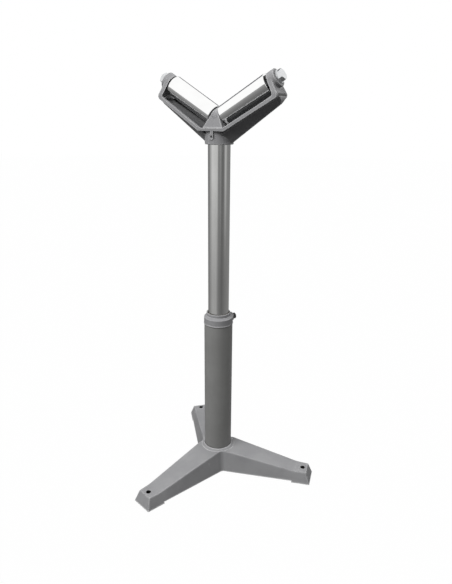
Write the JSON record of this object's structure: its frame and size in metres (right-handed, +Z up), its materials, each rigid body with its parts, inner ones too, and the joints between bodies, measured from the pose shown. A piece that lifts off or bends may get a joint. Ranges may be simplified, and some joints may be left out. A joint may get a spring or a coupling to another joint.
{
  "type": "pipe jack stand",
  "caption": "Cast tripod stand with a telescoping chromed column and a swivelling V head whose rollers carry pipe or bar so that it can be fed or turned.",
  "frame": {"origin": "on the column's axis at floor level, the centre of the foot's bolt circle", "axes": "+Z up along the column; the V opens along X with one roller on each side, so pipes lie along Y; the head's set screw faces -Y"},
  "size_m": [0.4936, 0.4869, 1.0725],
  "materials": {
    "cast_paint": "satin grey paint over a cast surface",
    "tube_paint": "satin grey paint, smooth",
    "column_chrome": "drawn and plated, fine lengthwise lines",
    "roller_chrome": "bright plated",
    "zinc_steel": "bright zinc plate",
    "black_steel": "black oxide",
    "bare_steel": "turned steel, oiled",
    "bearing_steel": "ground and polished",
    "bush_bronze": "bored bronze",
    "pad_brass": "turned brass",
    "guide_plastic": "machined nylon",
    "cap_plastic": "moulded black plastic",
    "seal_rubber": "moulded rubber"
  },
  "bodies": {
    "base": {"base_casting": "cast_paint", "outer_tube": "tube_paint", "tube_plug": "bare_steel", "tie_bolt": "zinc_steel", "tie_washer": "zinc_steel", "guide_collar": "cast_paint", "guide_bush": "bush_bronze"},
    "clamp_pad": {"clamp_pad": "pad_brass"},
    "clamp_screw": {"clamp_screw": "black_steel"},
    "slider": {"guide_ring": "guide_plastic"},
    "column": {"column_tube": "column_chrome", "column_foot_plug": "bare_steel", "keeper_ring": "black_steel", "head_casting": "cast_paint", "set_screw": "zinc_steel", "axle_washers": "zinc_steel", "axle_left": "zinc_steel", "axle_spacers_left": "zinc_steel", "spacer_tube_left": "bare_steel", "bearing_inner_rings_left": "bearing_steel", "axle_right": "zinc_steel", "axle_spacers_right": "zinc_steel", "spacer_tube_right": "bare_steel", "bearing_inner_rings_right": "bearing_steel"},
    "roller_left": {"roller_shell_left": "roller_chrome", "end_caps_left": "cap_plastic", "bearing_outer_rings_left": "bearing_steel", "bearing_balls_left": "bearing_steel", "bearing_cages_left": "bare_steel", "bearing_seals_left": "seal_rubber"},
    "roller_right": {"roller_shell_right": "roller_chrome", "end_caps_right": "cap_plastic", "bearing_outer_rings_right": "bearing_steel", "bearing_balls_right": "bearing_steel", "bearing_cages_right": "bare_steel", "bearing_seals_right": "seal_rubber"}
  },
  "joints": [
    {"name": "clamp_feed", "type": "slide", "parent": "base", "child": "clamp_pad", "axis": [0.4509, 0.8926, 0], "range_m": [0, 0.003]},
    {"name": "clamp_turn", "type": "hinge", "parent": "clamp_pad", "child": "clamp_screw", "pos_m": [0, 0, 0.4553], "axis": [0.4509, 0.8926, 0], "range_deg": [0, 760]},
    {"name": "height_slide", "type": "slide", "parent": "base", "child": "slider", "axis": [0, 0, 1], "range_m": [-0.345, 0.015]},
    {"name": "head_swivel", "type": "hinge", "parent": "slider", "child": "column", "pos_m": [0, 0, 0.41], "axis": [0, 0, 1], "continuous": true},
    {"name": "roller_left_spin", "type": "hinge", "parent": "column", "child": "roller_left", "pos_m": [0, 0, 0.966], "axis": [-0.866, 0, 0.5], "continuous": true},
    {"name": "roller_right_spin", "type": "hinge", "parent": "column", "child": "roller_right", "pos_m": [0, 0, 0.966], "axis": [0.866, 0, 0.5], "continuous": true}
  ],
  "couplings": [
    {"joint": "clamp_turn", "follows": "clamp_feed", "rad_per_m": 4188.8}
  ]
}
